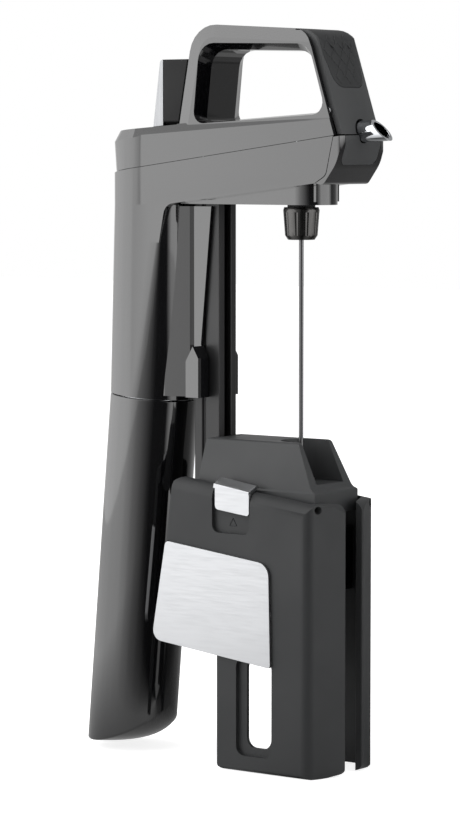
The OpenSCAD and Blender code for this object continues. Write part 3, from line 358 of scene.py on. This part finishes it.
# ---- Upper housings ----
# The two halves of the top shell with the carrying handle, moulded in the same gloss black ABS.
# They meet on the middle plane and are screwed down onto the lower shell from below. Their broad chamfers
# are shallow, so softer edges count as edges here.
SHALLOW_CREASE = 14
for part_name in ("upper_housing_right", "upper_housing_left"):
    dress(finish_solid(part_name, 0.45, SHALLOW_CREASE), gloss_abs)

# ---- Nose cap ----
# The gloss black front of the arm below the trigger, moulded in the same ABS.
# It is clipped over the end of the lower shell and holds the spout.
dress(finish_solid("nose_cap", 0.35), gloss_abs)

# ---- Nose panel ----
# A thin soft-touch inlay around the root of the spout, glued into the nose cap's recess.
# Soft-touch lacquer spreads light widely; only its orange-peel grain shows. A paler copy of the same lacquer,
# with painted light in its colour, goes on the nose panel and the trigger.
soft_touch = moulded("soft_touch_grey_lacquer", "333435", 0.55, 0.5, 0.03, ior=1.42)
lit_soft_touch = moulded("soft_touch_lacquer_painted_lit", "424344", 0.5, 0.5, 0.03, ior=1.45)
# The panel takes the paler copy of the lacquer, painted lighter as painted light.
dress(finish_solid("nose_panel", 0.25), lit_soft_touch)

# ---- Trigger ----
# The rocking front of the handle, which the thumb presses, moulded in ABS with the same soft-touch lacquer.
# It turns on two pins at its foot.
# Its lacquer is the paler copy, painted lighter for the light that falls on the trigger's front.
dress(finish_solid("trigger", 0.5), lit_soft_touch)

# ---- Trigger pad ----
# Rubber moulded into a recess of the trigger for the thumb, darker than the lacquer around it.
# Its face carries a pattern of low diamonds, which stop short of the pad's edge.
pad_face = moulded("thumb_pad_rubber", "303132", 0.6, 0.6, 0.03, ior=1.42)
pad = finish_solid("trigger_pad", 0.12)
dress(pad, pad_face)
DIAMOND_WIDE = 0.0046
DIAMOND_TALL = 0.0058
DIAMOND_FILL = 0.94
DIAMOND_RISE = 0.0003
DIAMOND_EDGE = 0.00006
HALF_WIDE = 0.0025
HALF_TALL = 0.0031
ROWS = 8
COLUMNS = 5
PAD_LEAN = math.radians(17.9)
up_the_pad = Vector((-math.sin(PAD_LEAN), 0, math.cos(PAD_LEAN)))
out_of_pad = Vector((math.cos(PAD_LEAN), 0, math.sin(PAD_LEAN)))
pad_tree = BVHTree.FromObject(pad, bpy.context.evaluated_depsgraph_get())
pad_middle = Vector((0.0165, 0, 0.138))


def on_pad(across, up):
    """Where a line square to the pad's slope meets its face, and the face's normal there, or None."""
    start = pad_middle + Vector((0, across, 0)) + up_the_pad * up + out_of_pad * 0.03
    place, normal, _, _ = pad_tree.ray_cast(start, -out_of_pad)
    return (place, normal) if place is not None and normal.dot(out_of_pad) > 0.5 else None


diamonds = []
for row in range(-ROWS, ROWS + 1):
    for column in range(-COLUMNS, COLUMNS + 1):
        if (row + column) % 2:
            continue
        across, up = column * DIAMOND_WIDE / 2, row * DIAMOND_TALL / 2
        corners = ((0, 0), (HALF_WIDE, 0), (-HALF_WIDE, 0), (0, HALF_TALL), (0, -HALF_TALL))
        hits = [on_pad(across + a, up + b) for a, b in corners]
        if None in hits:
            continue
        place, normal = hits[0]
        bpy.ops.object.select_all(action="DESELECT")
        bpy.ops.mesh.primitive_cone_add(vertices=4, radius1=0.5, radius2=0.44, depth=1.0)
        diamond = bpy.context.object
        diamond.scale = (DIAMOND_WIDE * DIAMOND_FILL, DIAMOND_TALL * DIAMOND_FILL, DIAMOND_RISE)
        bpy.ops.object.transform_apply(scale=True)
        diamond.location = place
        diamond.rotation_euler = normal.to_track_quat("Z", "Y").to_euler()
        diamonds.append(diamond)
bpy.ops.object.select_all(action="DESELECT")
for diamond in diamonds:
    diamond.select_set(True)
bpy.context.view_layer.objects.active = diamonds[0]
bpy.ops.object.join()
relief = bpy.context.object
relief.name = "trigger_pad_diamonds"
bpy.ops.object.transform_apply(location=True, rotation=True, scale=True)
soft_edge = relief.modifiers.new("soft_edge", "BEVEL")
soft_edge.width = DIAMOND_EDGE
soft_edge.segments = 2
bpy.ops.object.modifier_apply(modifier=soft_edge.name)
bpy.ops.object.shade_smooth_by_angle(angle=math.radians(50))
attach(relief, node["trigger_pad"]["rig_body"])
dress(relief, pad_face)

# ---- Trigger pins and leaf spring ----
# Two ground steel stubs pressed into the housings, and a bowed spring-steel leaf behind the trigger.
ground_steel = bare_metal("ground_steel", "b9babc", 0.25, 0.3, (1.0, 0.05, 1.0), 0.01)
for part_name in ("trigger_pin", "trigger_spring"):
    dress(finish_solid(part_name, 0.0), ground_steel)

# ---- Spout ----
# A turned brass tube with an oblique mouth, through which the wine pours; the nose cap holds it.
# Polished and chrome plated, so it mirrors the studio.
chrome = bare_metal("polished_chrome_plate", "d5d7da", 0.05, 8.0, (1.0, 1.0, 1.0), 0.004)
dress(finish_solid("spout", 0.15), chrome)

# ---- Seals ----
# Rings on the spout's root, round the needle and above the capsule's neck, pressed into their grooves.
# Moulded black silicone, matt.
black_silicone = moulded("black_silicone_rubber", "1a1a1a", 0.65, 0.5, 0.04)
for part_name in ("spout_seal", "needle_seal", "capsule_seal"):
    dress(finish_solid(part_name, 0.0), black_silicone)

# ---- Needle manifold ----
# The block over the needle where gas goes down and wine comes up, moulded in glass-filled nylon with a
# polished outside; its lower boss shows under the arm.
dress(finish_solid("needle_manifold", 0.4), gloss_abs)

# ---- Valve ----
# A stem that the trigger's fork pushes down to let the gas in, and the spring that brings it back.
# The stem is turned from brass, and the spring is wound from steel wire.
turned_brass = bare_metal("turned_brass", "b08d4f", 0.3, 0.5, (1.0, 1.0, 0.1), 0.01)
dress(finish_solid("valve_stem", 0.0), turned_brass)
wound_wire = bare_metal("wound_spring_wire", "aeb0b3", 0.3, 0.3, (1.0, 1.0, 1.0), 0.005)
dress(finish_solid("valve_spring", 0.0), wound_wire)

# ---- Gas and wine tubes ----
# Hoses pushed over the block's nipples, one from the regulator and one to the spout.
# Extruded soft PVC, translucent and pale.
soft_pvc = moulded("clear_pvc_tube", "c9cbcc", 0.2, 1.0, 0.02)
for part_name in ("gas_tube", "wine_tube"):
    dress(finish_solid(part_name, 0.0), soft_pvc)

# ---- Guide rail ----
# The T-shaped rail that the clamp slides on, fixed under the arm behind the needle.
# Moulded in matt black glass-filled nylon.
rail_nylon = moulded("black_glass_filled_nylon", "1c1c1d", 0.38, 0.4, 0.03)
dress(finish_solid("guide_rail", 0.3), rail_nylon)

# ---- Rail shroud ----
# The gloss black channel between the column and the rail, clipped on from the front.
# It is moulded in the housings' ABS.
dress(finish_solid("rail_shroud", 0.4), gloss_abs)

# ---- Spine plate and its trim ----
# A tall matt black ABS blade that stands on the arm behind the handle.
# A thin strip of grey anodised aluminium, brushed along its height, covers its back.
matt_abs = moulded("matt_black_abs", "0d0d0e", 0.5, 0.4, 0.02, ior=1.35)
dress(finish_solid("spine_plate", 0.4), matt_abs)
trim_aluminium = bare_metal("grey_anodised_aluminium", "9c9d9f", 0.36, 0.5, (1.0, 1.0, 0.06), 0.006)
dress(finish_solid("spine_trim", 0.4), trim_aluminium)

# ---- Housing screws ----
# Screws that hold the upper housings down, sunk into the lower shell out of sight.
# Zinc-plated steel.
zinc_steel = bare_metal("zinc_plated_steel", "a7a9ab", 0.35, 0.4, (1.0, 1.0, 1.0), 0.01)
dress(finish_solid("housing_screws", 0.0), zinc_steel)

# ---- Regulator ----
# A turned body that screws into the column, with a brass piston, a wound spring, and a hardened pin that
# pierces the capsule. The collar below it takes the cup's thread.
dress(finish_solid("regulator_body", 0.2), ground_steel)
dress(finish_solid("regulator_piston", 0.0), turned_brass)
dress(finish_solid("regulator_spring", 0.0), wound_wire)
for part_name in ("piercing_pin", "thread_collar"):
    dress(finish_solid(part_name, 0.0), ground_steel)

# ---- Gas capsule and its cushion ----
# A drawn and zinc-plated steel capsule, and the rubber cushion in the foot of the cup that pushes it up
# to the pin.
dress(finish_solid("gas_capsule", 0.0), zinc_steel)
dress(finish_solid("capsule_cushion", 0.0), black_silicone)

# ---- Capsule cup ----
# The lower half of the column, moulded in gloss black ABS and screwed onto the collar.
# A thin dark line parts it from the upper half, and its front toe is broadly rounded.
dress(finish_solid("capsule_cup", 0.5), gloss_abs)

# ---- Needle nut ----
# A cone with shallow flutes for the fingers, which holds the needle up in the block.
# Turned from brass and plated in black nickel.
black_nickel = bare_metal("black_nickel_plated_brass", "565554", 0.27, 0.4, (1.0, 1.0, 0.12), 0.008)
dress(finish_solid("needle_nut", 0.15), black_nickel)

# ---- Needle ----
# Drawn stainless tube that goes through the cork, coated dark grey.
# Fine draw lines run along it.
coated_needle = bare_metal("coated_stainless_needle", "6f6f70", 0.3, 0.3, (1.0, 1.0, 0.02), 0.006)
dress(finish_solid("needle", 0.0), coated_needle)

# ---- Clamp bridge ----
# The saddle over the bottle's lip, which carries the runner, the guide and both jaws.
# Moulded nylon with a soft-touch lacquer a little lighter than the jaws'.
bridge_touch = moulded("soft_touch_bridge_lacquer", "3d3e3f", 0.5, 0.5, 0.03, ior=1.45)
dress(finish_solid("clamp_bridge", 0.5), bridge_touch)

# ---- Runner and needle guide ----
# Acetal inserts in the bridge: the pale runner slides on the rail, and the black guide centres the needle
# over the cork.
acetal = moulded("natural_acetal", "dcdcd6", 0.35, 0.8, 0.02)
dress(finish_solid("rail_runner", 0.15), acetal)
dark_acetal = moulded("black_acetal", "202021", 0.35, 0.8, 0.02)
dress(finish_solid("needle_guide", 0.15), dark_acetal)

# ---- Jaws ----
# Two mirror-image wings that hug the bottle's neck, hinged on pins under the bridge.
# Moulded nylon with the dark soft-touch lacquer, and broader mould radii than the rest.
for part_name in ("jaw_right", "jaw_left"):
    dress(finish_solid(part_name, 1.0), soft_touch)

# ---- Arrow marks ----
# A small raised triangle outline in the floor of each latch pocket, showing which way to lift.
# It is moulded with the jaw, so it has the jaw's lacquer.
ARROW_PLACE = (-0.0143, 0.01682, -0.0078)
ARROW_RADIUS = 0.0016
ARROW_LINE = 0.00016
for part_name, side in (("jaw_right", -1), ("jaw_left", 1)):
    bpy.ops.object.select_all(action="DESELECT")
    bpy.ops.mesh.primitive_torus_add(major_segments=3, minor_segments=8, major_radius=ARROW_RADIUS,
                                     minor_radius=ARROW_LINE)
    mark = bpy.context.object
    mark.name = part_name + "_arrow_mark"
    mark.rotation_euler = (math.radians(90), math.radians(-90), 0)
    mark.location = (ARROW_PLACE[0], side * ARROW_PLACE[1], ARROW_PLACE[2])
    bpy.ops.object.transform_apply(location=True, rotation=True, scale=True)
    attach(mark, node[part_name]["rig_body"])
    dress(mark, soft_touch)

# ---- Wing plates ----
# Stamped aluminium sheets, satin brushed along their length and left bare, glued into the jaws' recesses.
satin_aluminium = bare_metal("satin_silver_aluminium", "bcbdbf", 0.36, 0.5, (0.06, 1.0, 1.0), 0.006)
for part_name in ("wing_plate_right", "wing_plate_left"):
    dress(finish_solid(part_name, 0.3), satin_aluminium)

# ---- Latch tabs ----
# Tabs that lift a little to free their jaws.
# Bent from the same satin aluminium sheet.
for part_name in ("latch_tab_right", "latch_tab_left"):
    dress(finish_solid(part_name, 0.3), satin_aluminium)

# ---- Grip pads ----
# Saddles on the jaws' inner faces that hold the glass neck without scratching it.
# Moulded in the same black silicone as the seals.
for part_name in ("grip_pad_right", "grip_pad_left"):
    dress(finish_solid(part_name, 0.3), black_silicone)

# ---- Jaw pins, springs and screws ----
# Ground steel hinge pins, torsion springs wound around them, and the steel screws that hold the runner
# to the bridge.
for part_name in ("jaw_pins", "clamp_screws"):
    dress(finish_solid(part_name, 0.0), ground_steel)
dress(finish_solid("jaw_springs", 0.0), wound_wire)
